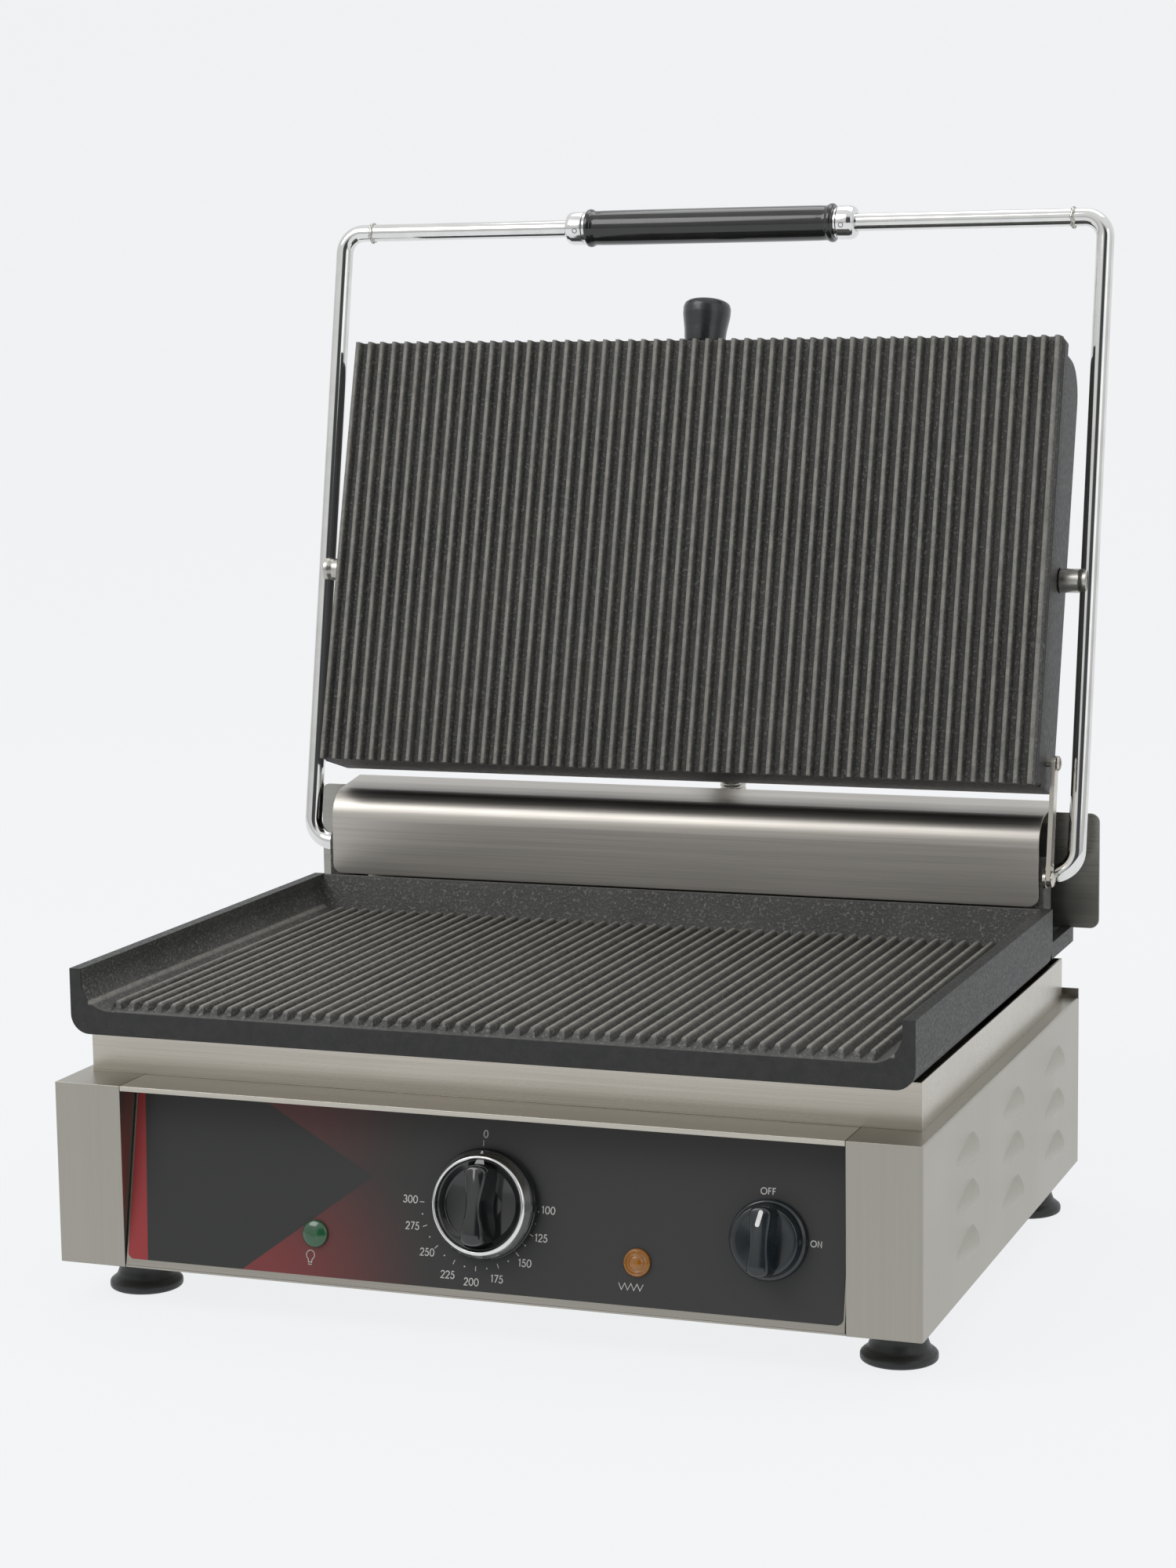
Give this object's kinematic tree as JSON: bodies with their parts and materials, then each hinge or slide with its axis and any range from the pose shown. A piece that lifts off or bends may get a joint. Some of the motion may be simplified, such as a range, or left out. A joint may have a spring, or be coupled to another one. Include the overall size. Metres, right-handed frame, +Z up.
{
  "type": "panini press",
  "caption": "Electric contact grill with a ribbed cast lid on a bail arm, a ribbed tray with side rims, a sheet-steel case, a dial thermostat and a switch.",
  "frame": {"origin": "on the surface the feet stand on, under the middle of the whole press's bounding box with the lid open", "axes": "+X to the user's right, +Y to the rear, +Z up; the controls face -Y"},
  "size_m": [0.564, 0.5066, 0.6636],
  "materials": {
    "rubber": "matt moulded",
    "fastener": "bright plated",
    "polished_steel": "fine polished sheet",
    "brushed_steel": "brushed sheet",
    "panel_steel": "brushed sheet",
    "overlay": "satin printed film with light dial figures",
    "black_plastic": "glossy moulded",
    "chrome_trim": "mirror plated",
    "green_lens": "translucent moulded lens",
    "amber_lens": "translucent moulded lens",
    "cast_iron": "fine-grained matt casting",
    "bronze": "sintered bearing bronze",
    "chrome_rod": "plated round bar with welds",
    "spring_steel": "drawn wire",
    "conduit_metal": "coiled steel strip",
    "element_steel": "heat-tinted tube and sheet",
    "insulation": "mineral wool pad",
    "control_plastic": "moulded"
  },
  "bodies": {
    "base": {"amber_lamp": "amber_lens", "back_plate": "brushed_steel", "bottom_cover": "brushed_steel", "case_panel_left": "polished_steel", "case_panel_right": "polished_steel", "conduit": "conduit_metal", "conduit_gland_rear": "conduit_metal", "control_overlay": "overlay", "control_panel": "panel_steel", "cord_gland": "control_plastic", "deck": "polished_steel", "foot_front_left": "rubber", "foot_front_right": "rubber", "foot_rear_left": "rubber", "foot_rear_right": "rubber", "foot_screws": "fastener", "green_lamp": "green_lens", "heat_shield": "element_steel", "hinge_bush_left": "bronze", "hinge_bush_right": "bronze", "hood_screws": "fastener", "insulation_pad": "insulation", "lift_spring_left": "spring_steel", "lift_spring_right": "spring_steel", "lower_element": "element_steel", "lower_plate": "cast_iron", "rear_hood": "brushed_steel", "rear_panel": "brushed_steel", "skirt_frame": "brushed_steel", "switch_body": "control_plastic", "terminal_block": "control_plastic", "thermostat_body": "control_plastic", "thermostat_bulb": "element_steel"},
    "arm": {"arm_left": "chrome_rod", "arm_right": "chrome_rod", "lid_pivot_left": "chrome_rod", "lid_pivot_right": "chrome_rod", "crossbar": "chrome_rod", "handle_grip": "black_plastic", "grip_ferrule_left": "chrome_trim", "grip_ferrule_right": "chrome_trim", "stay_lug": "chrome_rod", "stay_rivet": "fastener"},
    "lid": {"upper_plate": "cast_iron", "lid_cover": "brushed_steel", "lid_screws": "fastener", "upper_element": "element_steel", "upper_insulation": "insulation", "lid_knob": "black_plastic", "conduit_gland_lid": "conduit_metal", "lid_stay_stud": "fastener"},
    "stay": {"stay_bar": "chrome_rod"},
    "dial": {"thermostat_knob": "black_plastic", "thermostat_knob_ring": "chrome_trim"},
    "selector": {"switch_knob": "black_plastic"}
  },
  "joints": [
    {"name": "lid_lift", "type": "hinge", "parent": "base", "child": "arm", "pos_m": [0, 0.1498, 0.2246], "axis": [1, 0, 0], "range_deg": [0, 100.73]},
    {"name": "plate_tilt", "type": "hinge", "parent": "arm", "child": "lid", "pos_m": [0, 0.18663, 0.41405], "axis": [1, 0, 0], "range_deg": [0, 4.72]},
    {"name": "stay_swing", "type": "hinge", "parent": "arm", "child": "stay", "pos_m": [0.259, 0.13726, 0.22296], "axis": [1, 0, 0], "range_deg": [-7.48, 0]},
    {"name": "thermostat_turn", "type": "hinge", "parent": "base", "child": "dial", "pos_m": [0.0065, -0.22423, 0.08039], "axis": [0, 0.9799, -0.1994], "range_deg": [0, 270]},
    {"name": "switch_turn", "type": "hinge", "parent": "base", "child": "selector", "pos_m": [0.1785, -0.22553, 0.07402], "axis": [0, 0.9799, -0.1994], "range_deg": [0, 90]}
  ],
  "couplings": [
    {"joint": "plate_tilt", "follows": "lid_lift", "ratio": 0.046332},
    {"joint": "stay_swing", "follows": "lid_lift", "ratio": -0.073766}
  ]
}
